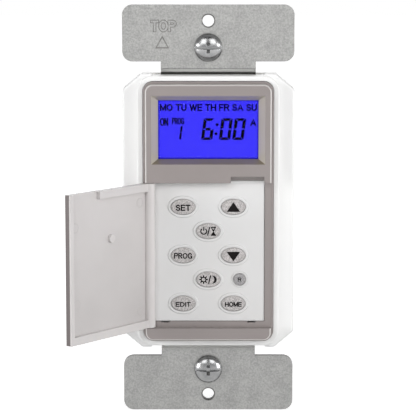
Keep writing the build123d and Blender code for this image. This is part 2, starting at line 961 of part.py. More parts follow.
def make_rectifier_diodes():
    length = power_board_width * diode_length_share
    pitch = power_board_height * diode_pitch_share
    x = power_board_width * diode_x_share
    first = power_board_height * diode_z_share
    places = [first - step * pitch for step in range(rectifier_diode_count)]
    return Compound(children=[lying_tube(diode_radius, length, x, z) for z in places])


# Screws
def make_corner_screws():
    screws = []
    for x, z in mirrored_places(corner_screw_x, corner_screw_z):
        tip = flange_back - corner_screw_length
        head_back = flange_back + corner_screw_head_height
        head = rod(x, z, corner_screw_head_radius, flange_back, head_back)
        head = fillet(back_edges(head), corner_screw_head_height / 2)
        screw = head + rod(x, z, corner_screw_radius, tip, flange_back)
        long_half = corner_screw_head_radius * cross_length_share
        thin_half = corner_screw_head_radius * cross_width_share
        front = head_back - corner_screw_recess
        screw -= block(x - long_half, x + long_half, z - thin_half, z + thin_half, front, head_back)
        screw -= block(x - thin_half, x + thin_half, z - long_half, z + long_half, front, head_back)
        screws.append(screw)
    return Compound(children=screws)


def make_mounting_screw(z):
    """A captive box screw: domed head with slot and cross, undercut neck, thread core."""
    head_front = ear_front - box_screw_head_height
    head = rod(0, z, box_screw_head_radius, head_front, ear_front)
    head = fillet(front_edges(head), box_screw_dome)
    thread_back = ear_front + box_screw_length
    screw = head + rod(0, z, box_screw_neck_radius, ear_front, ear_back)
    thread = rod(0, z, box_screw_thread_radius, ear_back, thread_back)
    screw += chamfer(back_edges(thread), box_screw_tip)
    half_slot = driver_slot_width / 2
    reach = box_screw_head_radius + overrun
    slot_back = head_front + driver_slot_depth
    screw -= block(-reach, reach, z - half_slot, z + half_slot, head_front - overrun, slot_back)
    half_cross = driver_cross_length / 2
    cross_back = head_front + driver_cross_depth
    screw -= block(
        -half_cross, half_cross, z - half_slot, z + half_slot, head_front - overrun, cross_back
    )
    screw -= block(
        -half_slot, half_slot, z - half_cross, z + half_cross, head_front - overrun, cross_back
    )
    return screw


def make_screw_retainers():
    """The inserts that fill the ears' slots and hold the screws by their necks."""
    length = box_slot_length - 2 * retainer_slot_play
    width = box_slot_width - 2 * retainer_slot_play
    hole = box_screw_neck_radius + retainer_screw_play
    retainers = []
    for side_z in (-1, 1):
        z = side_z * box_screw_spacing / 2
        insert = slab(Pos(0, z) * SlotOverall(length, width), ear_front, ear_back - retainer_recess)
        insert -= rod(0, z, hole, ear_front - overrun, ear_back + overrun)
        retainers.append(insert)
    return Compound(children=retainers)


# Every piece by its node name
pieces = {
    "mounting_strap": make_mounting_strap(),
    "front_housing": make_front_housing(),
    "rear_housing": make_rear_housing(),
    "bezel": make_bezel(),
    "keypad_panel": make_keypad_panel(),
    "door": make_door(),
    "display_window": display_plate(window_front, glass_front),
    "lcd_glass": display_plate(glass_front, glass_rear),
    "lcd_backlight": make_lcd_backlight(),
    "lcd_contact_strips": Compound(children=[contact_strip(z, 0.0) for z in strip_places()]),
    "lcd_holder": make_lcd_holder(),
    "control_board": make_control_board(),
    "microcontroller": make_microcontroller(),
    "clock_crystal": make_clock_crystal(),
    "backup_battery": make_backup_battery(),
    "link_socket": make_link_socket(),
    "link_header": make_link_header(),
    "power_board": make_power_board(),
    "relay": make_relay(),
    "film_capacitor": make_film_capacitor(),
    "reservoir_capacitor": make_reservoir_capacitor(),
    "surge_varistor": make_surge_varistor(),
    "fuse": make_fuse(),
    "rectifier_diodes": make_rectifier_diodes(),
    "corner_screws": make_corner_screws(),
    "screw_retainers": make_screw_retainers(),
    "upper_mounting_screw": make_mounting_screw(box_screw_spacing / 2),
    "lower_mounting_screw": make_mounting_screw(-box_screw_spacing / 2),
    "reset_key": make_reset_key(),
    "reset_key_plunger": make_plunger(*reset_key_place),
    "tact_switches": make_tact_switches([*key_places().values(), reset_key_place]),
}
for name, place in key_places().items():
    pieces[name] = make_oval_key(*place)
    pieces[name + "_plunger"] = make_plunger(*place)

for name, shape in pieces.items():
    export_step(shape, "parts/" + name + ".step")
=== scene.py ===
from math import cos, pi, radians, sin
import bpy
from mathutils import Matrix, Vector


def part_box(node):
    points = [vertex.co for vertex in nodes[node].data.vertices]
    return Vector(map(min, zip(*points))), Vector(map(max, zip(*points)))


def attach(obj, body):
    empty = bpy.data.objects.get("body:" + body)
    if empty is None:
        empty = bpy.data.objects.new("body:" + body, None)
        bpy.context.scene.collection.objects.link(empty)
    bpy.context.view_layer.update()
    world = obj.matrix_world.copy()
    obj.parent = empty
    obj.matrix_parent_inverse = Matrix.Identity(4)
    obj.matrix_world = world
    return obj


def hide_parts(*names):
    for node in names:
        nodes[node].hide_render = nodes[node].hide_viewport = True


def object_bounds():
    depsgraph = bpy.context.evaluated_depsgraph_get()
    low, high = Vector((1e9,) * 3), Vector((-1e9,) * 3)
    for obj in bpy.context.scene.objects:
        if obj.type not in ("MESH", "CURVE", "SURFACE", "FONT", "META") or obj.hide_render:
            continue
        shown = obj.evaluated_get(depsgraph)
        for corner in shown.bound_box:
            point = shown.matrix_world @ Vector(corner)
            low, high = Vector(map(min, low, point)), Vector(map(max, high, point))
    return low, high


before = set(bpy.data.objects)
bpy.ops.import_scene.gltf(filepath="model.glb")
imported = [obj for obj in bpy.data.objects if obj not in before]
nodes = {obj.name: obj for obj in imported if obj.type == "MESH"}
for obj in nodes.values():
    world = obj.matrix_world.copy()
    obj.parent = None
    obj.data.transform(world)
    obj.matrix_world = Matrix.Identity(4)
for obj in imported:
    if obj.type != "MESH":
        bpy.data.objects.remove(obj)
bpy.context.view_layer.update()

mm = 0.001


# Steel strap: one stamping of galvanised sheet that carries the switch in the wall box.
# Its zinc shows as a soft mottle, with a painted highlight where a bend stands steep or looks up. It is
# dark on the cut edges and round the plate-screw holes, and darkened as painted shade where the strap goes
# into the housing.
plate_hole_z = 48.42 * mm
plate_hole_radius = 1.5 * mm
rim_inner = plate_hole_radius + 0.12 * mm
rim_outer = plate_hole_radius + 0.42 * mm
housing_end = 35.3 * mm
slot_shade_inner = housing_end - 0.1 * mm
slot_shade_outer = housing_end + 0.15 * mm


def painted(red, green, blue):
    """A colour, given as it looks on a screen from 0 to 255, as the shaders take it."""
    linear = []
    for value in (red, green, blue):
        share = value / 255
        linear.append(share / 12.92 if share <= 0.04045 else ((share + 0.055) / 1.055) ** 2.4)
    return (*linear, 1.0)


def start_finish(name, edge_radius):
    """A material whose surface rounds its sharp edges by a small radius."""
    finish = bpy.data.materials.new(name)
    finish.use_nodes = True
    tree = finish.node_tree
    surface = tree.nodes["Principled BSDF"]
    place = tree.nodes.new("ShaderNodeTexCoord")
    rounding = tree.nodes.new("ShaderNodeBevel")
    rounding.samples = 4
    rounding.inputs["Radius"].default_value = edge_radius
    relief = tree.nodes.new("ShaderNodeBump")
    tree.links.new(rounding.outputs["Normal"], relief.inputs["Normal"])
    tree.links.new(relief.outputs["Normal"], surface.inputs["Normal"])
    return finish, tree, surface, place.outputs["Object"], relief


def noise(tree, place, scale, detail=3.0):
    """Cloudy variation over the surface, from 0 to 1."""
    clouds = tree.nodes.new("ShaderNodeTexNoise")
    clouds.inputs["Scale"].default_value = scale
    clouds.inputs["Detail"].default_value = detail
    tree.links.new(place, clouds.inputs["Vector"])
    return clouds.outputs["Fac"]


def roughen(tree, place, relief, scale, detail, strength, depth):
    """Fine bumps all over the surface."""
    relief.inputs["Strength"].default_value = strength
    relief.inputs["Distance"].default_value = depth
    tree.links.new(noise(tree, place, scale, detail), relief.inputs["Height"])


def span(tree, value, low, high, from_low=0.3, from_high=0.7):
    """A value between low and high, as the given value goes from from_low to from_high."""
    spread = tree.nodes.new("ShaderNodeMapRange")
    spread.inputs["From Min"].default_value = from_low
    spread.inputs["From Max"].default_value = from_high
    spread.inputs["To Min"].default_value = low
    spread.inputs["To Max"].default_value = high
    tree.links.new(value, spread.inputs["Value"])
    return spread.outputs["Result"]


def blend_colours(tree, share, first, second):
    """A colour between two, by the share. Each of the two is a fixed colour or a socket."""
    mix = tree.nodes.new("ShaderNodeMix")
    mix.data_type = "RGBA"
    for socket, colour in ((mix.inputs["A"], first), (mix.inputs["B"], second)):
        if isinstance(colour, tuple):
            socket.default_value = colour
        else:
            tree.links.new(colour, socket)
    tree.links.new(share, mix.inputs["Factor"])
    return mix.outputs["Result"]


def reckon(tree, operation, first, second=0.0):
    """One sum in a material, on two values that are numbers or sockets."""
    step = tree.nodes.new("ShaderNodeMath")
    step.operation = operation
    for socket, value in zip(step.inputs, (first, second)):
        if isinstance(value, (int, float)):
            socket.default_value = value
        else:
            tree.links.new(value, socket)
    return step.outputs["Value"]


def every(tree, *tests):
    """One where all the tests are one, and zero where any is zero."""
    whole = tests[0]
    for test in tests[1:]:
        whole = reckon(tree, "MULTIPLY", whole, test)
    return whole


def axes(tree, vector):
    """The X, Y and Z of a vector in a material."""
    parts = tree.nodes.new("ShaderNodeSeparateXYZ")
    tree.links.new(vector, parts.inputs["Vector"])
    return parts.outputs["X"], parts.outputs["Y"], parts.outputs["Z"]


def facing(tree):
    """The X, Y and Z of the way that the surface faces."""
    return axes(tree, tree.nodes.new("ShaderNodeTexCoord").outputs["Normal"])


def dress(piece, finish):
    """Give a piece one finish all over."""
    piece.data.materials.clear()
    piece.data.materials.append(finish)


def galvanised_steel():
    finish, tree, surface, place, relief = start_finish("galvanised_steel", 0.12 * mm)
    fine = noise(tree, place, 2300, 5.0)
    broad = noise(tree, place, 330)
    mottle = reckon(tree, "ADD", reckon(tree, "MULTIPLY", broad, 0.35), fine)
    share = span(tree, mottle, 0.0, 1.0, 0.5, 0.86)
    flat = blend_colours(tree, share, painted(142, 142, 141), painted(167, 167, 165))

    _, faces_y, faces_z = facing(tree)
    # Painted highlight: faces that stand steep or look up are lightened towards a pale grey.
    steep = span(tree, reckon(tree, "ABSOLUTE", faces_z), 0.0, 1.0, 0.45, 0.75)
    looks_up = span(tree, faces_z, 0.0, 0.55, 0.12, 0.4)
    bend_highlight = reckon(tree, "MAXIMUM", steep, looks_up)
    highlit_zinc = blend_colours(tree, bend_highlight, flat, painted(240, 240, 238))

    x, _, z = axes(tree, place)
    up = reckon(tree, "ABSOLUTE", z)
    from_hole = reckon(tree, "SUBTRACT", up, plate_hole_z)
    squares = [reckon(tree, "MULTIPLY", side, side) for side in (x, from_hole)]
    reach = reckon(tree, "SQRT", reckon(tree, "ADD", *squares))
    off_rim = span(tree, reach, 0.0, 1.0, rim_inner, rim_outer)
    off_cut = span(tree, reckon(tree, "ABSOLUTE", faces_y), 0.0, 1.0, 0.15, 0.4)
    # Painted shade: the strap is darkened where it goes into the housing's slot.
    off_slot_shade = span(tree, up, 0.0, 1.0, slot_shade_inner, slot_shade_outer)
    off_dark_and_shade = reckon(tree, "MINIMUM", reckon(tree, "MINIMUM", off_cut, off_rim), off_slot_shade)
    colour = blend_colours(tree, off_dark_and_shade, painted(80, 79, 77), highlit_zinc)

    tree.links.new(colour, surface.inputs["Base Color"])
    surface.inputs["Metallic"].default_value = 1.0
    tree.links.new(span(tree, fine, 0.40, 0.52), surface.inputs["Roughness"])
    roughen(tree, place, relief, 2600, 4.0, 0.35, 0.012 * mm)
    return finish


steel = galvanised_steel()
dress(nodes["mounting_strap"], steel)


# Stamped marks on the upper ear: an outlined triangle that points up, and the word over it in
# outlined letters, pressed lightly into the zinc so that they read as darker, duller lines.
ear_front = -1.2 * mm
triangle_middle = (-11.7 * mm, 43.05 * mm)
triangle_width = 3.6 * mm
triangle_height = 3.3 * mm
triangle_line = 0.5 * mm
triangle_inner_drop = 0.12 * mm
word_middle = (-11.4 * mm, 47.1 * mm)
word_height = 3.2 * mm
word_width = 6.75 * mm
word_weight = 0.88 * mm
word_line = 0.2 * mm
word_depth = 0.012 * mm
triangle_depth = 0.015 * mm


def stamped_steel():
    finish, tree, surface, place, relief = start_finish("stamped_steel", 0.05 * mm)
    share = span(tree, noise(tree, place, 900), 0.0, 1.0)
    colour = blend_colours(tree, share, painted(108, 107, 105), painted(134, 133, 131))
    tree.links.new(colour, surface.inputs["Base Color"])
    surface.inputs["Metallic"].default_value = 1.0
    surface.inputs["Roughness"].default_value = 0.6
    roughen(tree, place, relief, 2500, 3.0, 0.2, 0.02 * mm)
    return finish


def only(piece):
    """Select one piece and nothing else."""
    bpy.ops.object.select_all(action="DESELECT")
    piece.select_set(True)
    bpy.context.view_layer.objects.active = piece


def settle(piece):
    """Put a piece's place and turn into its mesh."""
    only(piece)
    bpy.ops.object.transform_apply(location=True, rotation=True, scale=True)


def mesh_piece(name, points, faces, edges=()):
    """A piece made of the given points, and faces or edges between them."""
    mesh = bpy.data.meshes.new(name)
    mesh.from_pydata(points, list(edges), faces)
    piece = bpy.data.objects.new(name, mesh)
    bpy.context.scene.collection.objects.link(piece)
    return piece


def face_outwards(piece):
    """Turn all faces of a closed piece outwards."""
    only(piece)
    bpy.ops.object.mode_set(mode="EDIT")
    bpy.ops.mesh.select_all(action="SELECT")
    bpy.ops.mesh.normals_make_consistent(inside=False)
    bpy.ops.object.mode_set(mode="OBJECT")


def thicken(piece, depth):
    """Extrude a flat piece towards the front."""
    only(piece)
    bpy.ops.object.mode_set(mode="EDIT")
    bpy.ops.mesh.select_all(action="SELECT")
    bpy.ops.mesh.extrude_region_move(TRANSFORM_OT_translate={"value": (0, -depth, 0)})
    bpy.ops.object.mode_set(mode="OBJECT")
    face_outwards(piece)
    return piece


def flat_shape(name, outline, front, depth):
    """A thin solid with the given outline, drawn in X and Z, standing on a surface."""
    points = [(x, front, z) for x, z in outline]
    return thicken(mesh_piece(name, points, [list(range(len(points)))]), depth)


def ring_shape(name, outer, inner, front, depth):
    """A thin solid between two outlines that have the same number of points."""
    count = len(outer)
    points = [(x, front, z) for x, z in (*outer, *inner)]
    faces = [[i, (i + 1) % count, count + (i + 1) % count, count + i] for i in range(count)]
    return thicken(mesh_piece(name, points, faces), depth)


def strip_shape(name, points, width, front, depth):
    """A printed line of even width along points, as a thin solid."""
    left = []
    right = []
    for i, (x, z) in enumerate(points):
        ax, az = points[max(i - 1, 0)]
        bx, bz = points[min(i + 1, len(points) - 1)]
        run = ((bx - ax) ** 2 + (bz - az) ** 2) ** 0.5
        nx = -(bz - az) / run * width / 2
        nz = (bx - ax) / run * width / 2
        left.append((x + nx, front, z + nz))
        right.append((x - nx, front, z - nz))
    count = len(points)
    faces = [[i, i + 1, 2 * count - 2 - i, 2 * count - 1 - i] for i in range(count - 1)]
    return thicken(mesh_piece(name, left + right[::-1], faces), depth)


def circle_points(x, z, radius, count=28, start=0.0, end=2 * pi):
    """Points on a circle, or on a part of one."""
    closed = abs(end - start - 2 * pi) < 1e-6
    steps = count if closed else count - 1
    angles = [start + (end - start) * step / steps for step in range(count)]
    return [(x + radius * cos(angle), z + radius * sin(angle)) for angle in angles]


def triangle(x, z, width, height):
    """A triangle's corners. It points up, or down where its height is negative."""
    return [(x - width / 2, z - height / 2), (x + width / 2, z - height / 2), (x, z + height / 2)]


def join(name, pieces):
    """Several shapes as one piece."""
    only(pieces[0])
    for piece in pieces:
        piece.select_set(True)
    bpy.ops.object.join()
    whole = bpy.context.object
    whole.name = name
    return whole


def letter_strokes():
    """The lines of each letter in a box one high, with the box's width."""
    def bow(x, z, across, up, start, end, count=9):
        angles = [radians(start + (end - start) * step / (count - 1)) for step in range(count)]
        return [(x + across * cos(angle), z + up * sin(angle)) for angle in angles]

    stem = [(0, 0), (0, 1)]
    bowl = [(0, 1), *bow(0.42, 0.76, 0.3, 0.24, 90, -90), (0, 0.52)]
    d_bowl = [(0, 1), (0.3, 1), *bow(0.3, 0.5, 0.46, 0.5, 80, -80), (0.3, 0), (0, 0)]
    g_bow = bow(0.43, 0.5, 0.43, 0.5, 40, 320, 15)
    s_bows = [*bow(0.34, 0.755, 0.31, 0.245, 25, 270), *bow(0.34, 0.255, 0.34, 0.255, 80, -160)]
    u_bow = [(0, 1), (0, 0.35), *bow(0.36, 0.33, 0.36, 0.33, 190, 350), (0.72, 0.35), (0.72, 1)]
    o_bows = [bow(0.44, 0.5, 0.44, 0.5, 90, 275, 12), bow(0.44, 0.5, 0.44, 0.5, -95, 95, 12)]
    w_lines = [[(0, 1), (0.29, 0)], [(0.29, 0), (0.57, 1)], [(0.57, 1), (0.85, 0)], [(0.85, 0), (1.14, 1)]]
    return {
        "A": (0.8, [[(0, 0), (0.4, 1), (0.8, 0)], [(0.14, 0.33), (0.66, 0.33)]]),
        "D": (0.76, [stem, d_bowl]),
        "E": (0.64, [stem, [(0, 1), (0.64, 1)], [(0, 0.52), (0.58, 0.52)], [(0, 0), (0.64, 0)]]),
        "F": (0.58, [stem, [(0, 1), (0.58, 1)], [(0, 0.5), (0.5, 0.5)]]),
        "G": (0.84, [g_bow, [(0.52, 0.46), (0.84, 0.46)], [(0.82, 0.46), (0.82, 0.06)]]),
        "H": (0.74, [stem, [(0.74, 0), (0.74, 1)], [(0, 0.52), (0.74, 0.52)]]),
        "I": (0.0, [stem]),
        "M": (0.9, [stem, [(0, 1), (0.45, 0.06)], [(0.45, 0.06), (0.9, 1)], [(0.9, 0), (0.9, 1)]]),
        "N": (0.72, [stem, [(0, 1), (0.72, 0)], [(0.72, 0), (0.72, 1)]]),
        "O": (0.88, o_bows),
        "P": (0.7, [stem, bowl]),
        "R": (0.72, [stem, bowl, [(0.4, 0.52), (0.72, 0)]]),
        "S": (0.68, [s_bows]),
        "T": (0.72, [[(0, 1), (0.72, 1)], [(0.36, 0), (0.36, 1)]]),
        "U": (0.72, [u_bow]),
        "W": (1.14, w_lines),
    }


letter_lines = letter_strokes()
letter_gap = 0.3
word_space = 0.18
line_end_share = 0.45
depth_step = 0.04


def lettering(name, words, middle, height, front, depth, width, weight):
    """Words in lines of even weight, as a thin solid standing on a surface. Each line stands a
    little higher than the one before, so that no two faces lie in one plane where they cross."""
    widths = [letter_lines[letter][0] if letter != " " else word_space for letter in words]
    scale_x = (width - weight) / (sum(widths) + letter_gap * (len(words) - 1))
    scale_z = height - weight
    x = middle[0] - (width - weight) / 2
    pieces = []
    for letter, letter_width in zip(words, widths):
        for points in letter_lines.get(letter, (0, []))[1]:
            line = [(x + px * scale_x, middle[1] + (pz - 0.5) * scale_z) for px, pz in points]
            for end, other in ((0, 1), (-1, -2)):
                run = Vector(line[end]) - Vector(line[other])
                line[end] = tuple(Vector(line[end]) + run.normalized() * weight * line_end_share)
            line_depth = depth * (1 + depth_step * len(pieces))
            pieces.append(strip_shape(name, line, weight, front, line_depth))
        x += (letter_width + letter_gap) * scale_x
    return join(name, pieces)


stamped = stamped_steel()
top_word = lettering(
    "top_word", "TOP", word_middle, word_height, ear_front, word_depth, word_width, word_weight
)
top_word_floor = lettering(
    "top_word_floor",
    "TOP",
    word_middle,
    word_height - 2 * word_line,
    ear_front,
    2 * word_depth,
    word_width - 2 * word_line,
    word_weight - 2 * word_line,
)
triangle_x, triangle_z = triangle_middle
top_triangle = ring_shape(
    "top_triangle",
    triangle(triangle_x, triangle_z, triangle_width, triangle_height),
    triangle(
        triangle_x,
        triangle_z - triangle_inner_drop,
        triangle_width - 2 * triangle_line,
        triangle_height - 2 * triangle_line,
    ),
    ear_front,
    triangle_depth,
)
for piece, finish in ((top_word, stamped), (top_word_floor, steel), (top_triangle, stamped)):
    dress(piece, finish)
    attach(piece, "switch_body")


# White front housing and off-white rear tub: two plastic mouldings with a fine sparked grain.
# Four screws from the back hold them together round the strap.
def moulded_plastic(name, dark, pale, roughness, grain, grain_depth, edge_radius=0.1 * mm, coat=0.0):
    """Plastic between two near colours. A larger grain value means finer bumps."""
    finish, tree, surface, place, relief = start_finish(name, edge_radius)
    clouds = noise(tree, place, 60)
    colour = blend_colours(tree, span(tree, clouds, 0.0, 1.0), dark, pale)
    tree.links.new(colour, surface.inputs["Base Color"])
    tree.links.new(span(tree, clouds, roughness - 0.03, roughness + 0.04), surface.inputs["Roughness"])
    surface.inputs["IOR"].default_value = 1.49
    surface.inputs["Coat Weight"].default_value = coat
    surface.inputs["Coat Roughness"].default_value = 0.12
    roughen(tree, place, relief, grain, 2.0, 0.35, grain_depth)
    return finish


white = moulded_plastic(
    "white_housing", painted(245, 245, 245), painted(248, 248, 247), 0.38, 5000, 0.008 * mm
)
dress(nodes["front_housing"], white)
off_white = moulded_plastic(
    "rear_housing", painted(226, 225, 221), painted(234, 233, 230), 0.5, 3500, 0.015 * mm
)
dress(nodes["rear_housing"], off_white)


# Bezel: one moulding of satin taupe plastic, seated in the collar of the front housing. The flanks that
# slope in to the display are painted with light and shade, paler at the sides and top and darker at the
# bottom, and the rounded outer edge carries a painted highlight, a pale line.
display_z = 21.2 * mm
aperture_width = 25.4 * mm
aperture_height = 14.9 * mm
flank_across = 1.7 * mm
flank_up = 1.2 * mm
flank_play = 0.02 * mm
bezel_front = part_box("bezel")[0].y
highlight_across = 15.2 * mm
highlight_up = 31.9 * mm
highlight_depth = 0.45 * mm


def bezel_plastic():
    finish = moulded_plastic(
        "bezel", painted(140, 132, 130), painted(145, 137, 135), 0.33, 4200, 0.006 * mm, 0.22 * mm, 0.5
    )
    tree = finish.node_tree
    surface = tree.nodes["Principled BSDF"]
    face = surface.inputs["Base Color"].links[0].from_socket
    x, y, z = axes(tree, tree.nodes.new("ShaderNodeTexCoord").outputs["Object"])
    _, faces_y, faces_z = facing(tree)

    across = reckon(tree, "ABSOLUTE", x)
    from_display = reckon(tree, "ABSOLUTE", reckon(tree, "SUBTRACT", z, display_z))
    flank = every(
        tree,
        reckon(tree, "LESS_THAN", across, aperture_width / 2 + flank_across - flank_play),
        reckon(tree, "LESS_THAN", from_display, aperture_height / 2 + flank_up - flank_play),
        reckon(tree, "GREATER_THAN", faces_y, -0.9),
    )
    # Painted light and shade: the side and top flanks are paler than the face, and the bottom flank, which
    # looks up, is darker.
    looks_up = span(tree, faces_z, 0.0, 1.0, 0.4, 0.6)
    flank_light_and_shade = blend_colours(tree, looks_up, painted(177, 170, 156), painted(122, 113, 90))
    colour = blend_colours(tree, flank, face, flank_light_and_shade)

    # Painted highlight: a pale line on the rounded outer edge of the raised face.
    at_side = reckon(tree, "GREATER_THAN", across, highlight_across)
    at_end = reckon(tree, "GREATER_THAN", reckon(tree, "ABSOLUTE", z), highlight_up)
    edge_highlight = every(
        tree,
        reckon(tree, "MAXIMUM", at_side, at_end),
        reckon(tree, "LESS_THAN", y, bezel_front + highlight_depth),
        reckon(tree, "GREATER_THAN", faces_y, -0.97),
        reckon(tree, "LESS_THAN", faces_y, -0.2),
    )
    colour = blend_colours(tree, edge_highlight, colour, painted(206, 201, 199))
    tree.links.new(colour, surface.inputs["Base Color"])
    return finish


dress(nodes["bezel"], bezel_plastic())


# Door: a thin plastic moulding on two pins at the bezel's left. It is pale inside, and painted taupe as
# the bezel on its outer face and edges. Inside it is darker towards the bottom, and its free end is darker
# than its face, both as painted shade. Faint round marks stay inside from the pins that pushed it out of
# its mould.
hinge = Vector((-14.85 * mm, -7.0 * mm, 0))
door_turn = radians(128)
door_length = 30.65 * mm
skin_face = -1.4 * mm
skin_back = -0.4 * mm
shade_bottom = -24 * mm
shade_top = 6 * mm
mark_radius = 1.2 * mm
mark_line = 0.15 * mm
mark_depth = 0.02 * mm


def door_plastic():
    """The paint and the bare plastic are told apart by their place on the unturned door."""
    finish, tree, surface, place, relief = start_finish("door", 0.12 * mm)
    unturned = tree.nodes.new("ShaderNodeMapping")
    unturned.vector_type = "TEXTURE"
    unturned.inputs["Location"].default_value = hinge
    unturned.inputs["Rotation"].default_value = (0, 0, -door_turn)
    tree.links.new(place, unturned.inputs["Vector"])
    along, inwards, up = axes(tree, unturned.outputs["Vector"])

    behind_paint = span(tree, inwards, 0.0, 1.0, skin_face + 0.1 * mm, skin_face + 0.2 * mm)
    off_end = span(tree, along, 1.0, 0.0, door_length - 0.15 * mm, door_length - 0.05 * mm)
    brow = span(tree, inwards, 0.0, 1.0, 0.1 * mm, 0.2 * mm)
    bare = reckon(tree, "MULTIPLY", behind_paint, reckon(tree, "MAXIMUM", off_end, brow))
    on_rim = span(tree, inwards, 0.0, 1.0, skin_back + 0.1 * mm, skin_back + 0.25 * mm)

    clouds = span(tree, noise(tree, place, 80), 0.0, 1.0)
    rim = blend_colours(tree, clouds, painted(212, 208, 207), painted(217, 213, 212))
    # Painted shade: the inside skin is darker towards the bottom.
    skin_lit = blend_colours(tree, clouds, painted(209, 205, 204), painted(215, 211, 210))
    skin_shaded = blend_colours(tree, clouds, painted(197, 193, 192), painted(203, 199, 198))
    skin_shading = blend_colours(tree, span(tree, up, 0.0, 1.0, shade_bottom, shade_top), skin_shaded, skin_lit)
    inside = blend_colours(tree, on_rim, skin_shading, rim)
    # Painted shade: the paint on the door's free end is darker than on its face.
    paint_and_end_shade = blend_colours(tree, off_end, painted(106, 98, 97), painted(143, 135, 134))
    tree.links.new(blend_colours(tree, bare, paint_and_end_shade, inside), surface.inputs["Base Color"])
    tree.links.new(span(tree, bare, 0.36, 0.2, 0.0, 1.0), surface.inputs["Roughness"])
    surface.inputs["IOR"].default_value = 1.49
    roughen(tree, place, relief, 4200, 2.0, 0.3, 0.004 * mm)
    return finish


dress(nodes["door"], door_plastic())
mark_finish = moulded_plastic(
    "ejector_mark", painted(190, 186, 185), painted(196, 192, 191), 0.36, 4200, 0.004 * mm
)
for name, along, z in (
    ("ejector_mark_1", 27.9 * mm, -0.7 * mm),
    ("ejector_mark_2", 27.4 * mm, -19.7 * mm),
    ("ejector_mark_3", 3.4 * mm, 3.0 * mm),
    ("ejector_mark_4", 3.4 * mm, -25.0 * mm),
):
    mark = ring_shape(
        name,
        circle_points(along, z, mark_radius),
        circle_points(along, z, mark_radius - mark_line),
        skin_back + mark_depth,
        mark_depth,
    )
    mark.location = hinge
    mark.rotation_euler = (0, 0, -door_turn)
    settle(mark)
    dress(mark, mark_finish)
    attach(mark, "door")


# Keypad panel and keys: a white moulding behind the bezel's window, painted a pale grey as shade from its
# recess, with a raised ring round each of nine grained rubber keys that come through it from behind. Their
# legends are printed in a dark ink.
key_front = -6.5 * mm
legend_depth = 0.02 * mm
line = 0.3 * mm


def rubber(name, dark, pale):
    finish, tree, surface, place, relief = start_finish(name, 0.06 * mm)
    share = span(tree, noise(tree, place, 3800, 1.0), 0.0, 1.0, 0.38, 0.62)
    tree.links.new(blend_colours(tree, share, dark, pale), surface.inputs["Base Color"])
    surface.inputs["Roughness"].default_value = 0.62
    surface.inputs["IOR"].default_value = 1.43
    roughen(tree, place, relief, 6000, 2.0, 0.5, 0.01 * mm)
    return finish


def ink(name, red, green, blue, shine=0.12):
    """Near-black ink, never quite even."""
    finish, tree, surface, place, _ = start_finish(name, 0.02 * mm)
    clouds = span(tree, noise(tree, place, 4000, 2.0), 0.0, 1.0)
    pale = painted(red + 8, green + 8, blue + 8)
    colour = blend_colours(tree, clouds, painted(red, green, blue), pale)
    tree.links.new(colour, surface.inputs["Base Color"])
    surface.inputs["Roughness"].default_value = 0.7
    surface.inputs["Specular IOR Level"].default_value = shine
    return finish


# Painted shade: the panel's pale grey stands for the shade of its recess behind the bezel.
panel_in_shade = moulded_plastic(
    "keypad_panel", painted(221, 220, 219), painted(226, 226, 226), 0.42, 4500, 0.006 * mm, 0.04 * mm
)
dress(nodes["keypad_panel"], panel_in_shade)
key_rubber = rubber("key", painted(166, 162, 161), painted(210, 206, 205))
reset_rubber = rubber("reset_key", painted(144, 142, 143), painted(178, 176, 177))
legend_ink = ink("legend_ink", 18, 15, 15)
key_names = (
    "set_key",
    "up_key",
    "power_key",
    "program_key",
    "down_key",
    "sun_key",
    "edit_key",
    "home_key",
    "reset_key",
)
key_middle = {}
for name in key_names:
    low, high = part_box(name)
    key_middle[name] = ((low.x + high.x) / 2, (low.z + high.z) / 2)
    dress(nodes[name], reset_rubber if name == "reset_key" else key_rubber)


def print_on_key(key, legend):
    """Put a legend on its key, so that the two move together."""
    dress(legend, legend_ink)
    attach(legend, key)


for key, words, height, width, drop, weight in (
    ("set_key", "SET", 1.6 * mm, 3.8 * mm, 0.2 * mm, 0.33 * mm),
    ("program_key", "PROG", 1.5 * mm, 4.7 * mm, 0.1 * mm, 0.28 * mm),
    ("edit_key", "EDIT", 1.25 * mm, 3.9 * mm, 0.2 * mm, 0.26 * mm),
    ("home_key", "HOME", 1.25 * mm, 4.3 * mm, 0.2 * mm, 0.26 * mm),
    ("reset_key", "R", 1.1 * mm, 0.95 * mm, 0.0, 0.2 * mm),
):
    x, z = key_middle[key]
    middle = (x, z - drop)
    print_on_key(
        key, lettering(key + "_legend", words, middle, height, key_front, legend_depth, width, weight)
    )

for key, drop, height in (("up_key", 0.0, 2.5 * mm), ("down_key", 0.3 * mm, -2.5 * mm)):
    x, z = key_middle[key]
    arrow = triangle(x, z - drop, 3.45 * mm, height)
    print_on_key(key, flat_shape(key + "_legend", arrow, key_front, legend_depth))


# Signs on two keys, printed as the other legends: a switch and an hourglass on the one, a sun
# and a moon on the other, each pair parted by a slash.
def key_line(points, width=line):
    """A printed line on a key."""
    return strip_shape("key_line", points, width, key_front, legend_depth)


def key_spot(outline):
    """A printed spot on a key."""
    return flat_shape("key_spot", outline, key_front, legend_depth)


